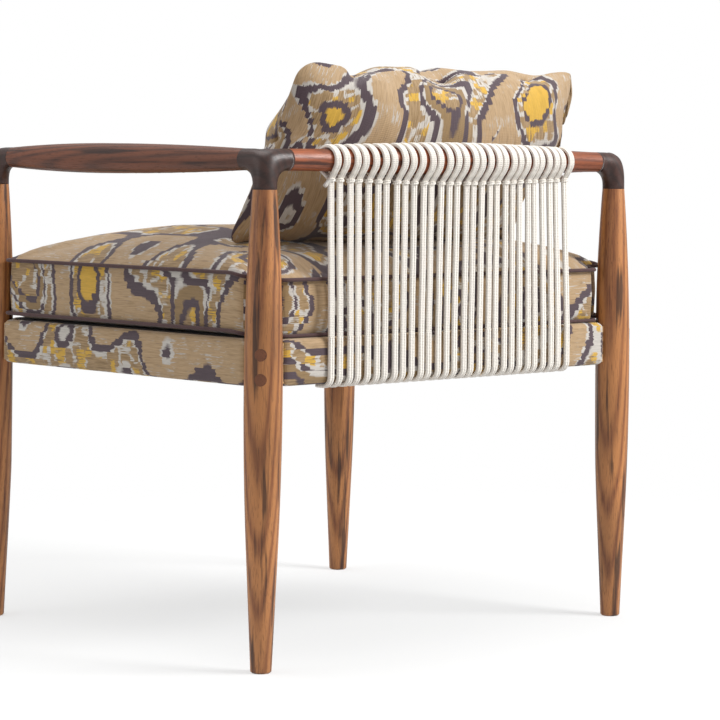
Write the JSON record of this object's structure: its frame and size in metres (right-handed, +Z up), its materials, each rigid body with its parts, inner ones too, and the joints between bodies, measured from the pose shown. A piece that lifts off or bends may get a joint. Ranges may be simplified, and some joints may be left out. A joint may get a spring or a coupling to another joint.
{
  "type": "wooden armchair",
  "caption": "Armchair with turned spindle legs and arms, dark corner joints, a corded back, an upholstered seat frame, a loose box cushion and a loose pillow.",
  "frame": {"origin": "on the floor under the centre of the chair's outline", "axes": "+Z up, +X to the sitter's left, -Y the way the chair faces"},
  "size_m": [0.685, 0.6068, 0.7454],
  "materials": {
    "leg_wood": "satin oil finish, strong streaked grain",
    "arm_wood": "satin oil finish, dark brown",
    "rail_wood": "satin oil finish, reddish brown",
    "joint_wood": "satin, very dark brown",
    "plug_wood": "satin end grain",
    "inner_wood": "planed, unfinished",
    "steel": "zinc plated",
    "tapestry": "woven, tan with dark purple-brown, grey and mustard pattern",
    "piping": "dark purple-brown corded welt",
    "cord": "off-white braided cotton",
    "webbing": "black elastic webbing",
    "deck_cloth": "dark lining cloth",
    "dust_cloth": "black dust cloth"
  },
  "bodies": {
    "frame": {"arm_dowels": "inner_wood", "arm_left": "arm_wood", "arm_right": "arm_wood", "back_rail": "rail_wood", "bolt_nuts": "steel", "bolt_plugs": "plug_wood", "bolt_washers": "steel", "cord_knots": "cord", "cord_tails": "cord", "cord_turns": "cord", "cord_uprights": "cord", "corner_block_front_left": "inner_wood", "corner_block_front_right": "inner_wood", "corner_block_rear_left": "inner_wood", "corner_block_rear_right": "inner_wood", "corner_block_screws": "steel", "corner_joint_front_left": "joint_wood", "corner_joint_front_right": "joint_wood", "corner_joint_rear_left": "joint_wood", "corner_joint_rear_right": "joint_wood", "dust_cover": "dust_cloth", "leg_bolts": "steel", "leg_dowels": "inner_wood", "leg_front_left": "leg_wood", "leg_front_right": "leg_wood", "leg_rear_left": "leg_wood", "leg_rear_right": "leg_wood", "rail_dowels": "inner_wood", "seat_cover_front": "tapestry", "seat_cover_left": "tapestry", "seat_cover_rear": "tapestry", "seat_cover_right": "tapestry", "seat_deck": "deck_cloth", "seat_rail_front": "inner_wood", "seat_rail_left": "inner_wood", "seat_rail_rear": "inner_wood", "seat_rail_right": "inner_wood", "webbing_front_to_back": "webbing", "webbing_side_to_side": "webbing"},
    "seat_cushion": {"seat_cushion": "tapestry", "seat_piping_bottom": "piping", "seat_piping_top": "piping"},
    "back_pillow": {"back_pillow": "tapestry"}
  },
  "joints": [
    {"name": "seat_cushion_lift", "type": "slide", "parent": "frame", "child": "seat_cushion", "axis": [0, 0, 1], "range_m": [0, 0.1]},
    {"name": "back_pillow_lift", "type": "slide", "parent": "seat_cushion", "child": "back_pillow", "axis": [0, 0, 1], "range_m": [0, 0.3]}
  ]
}
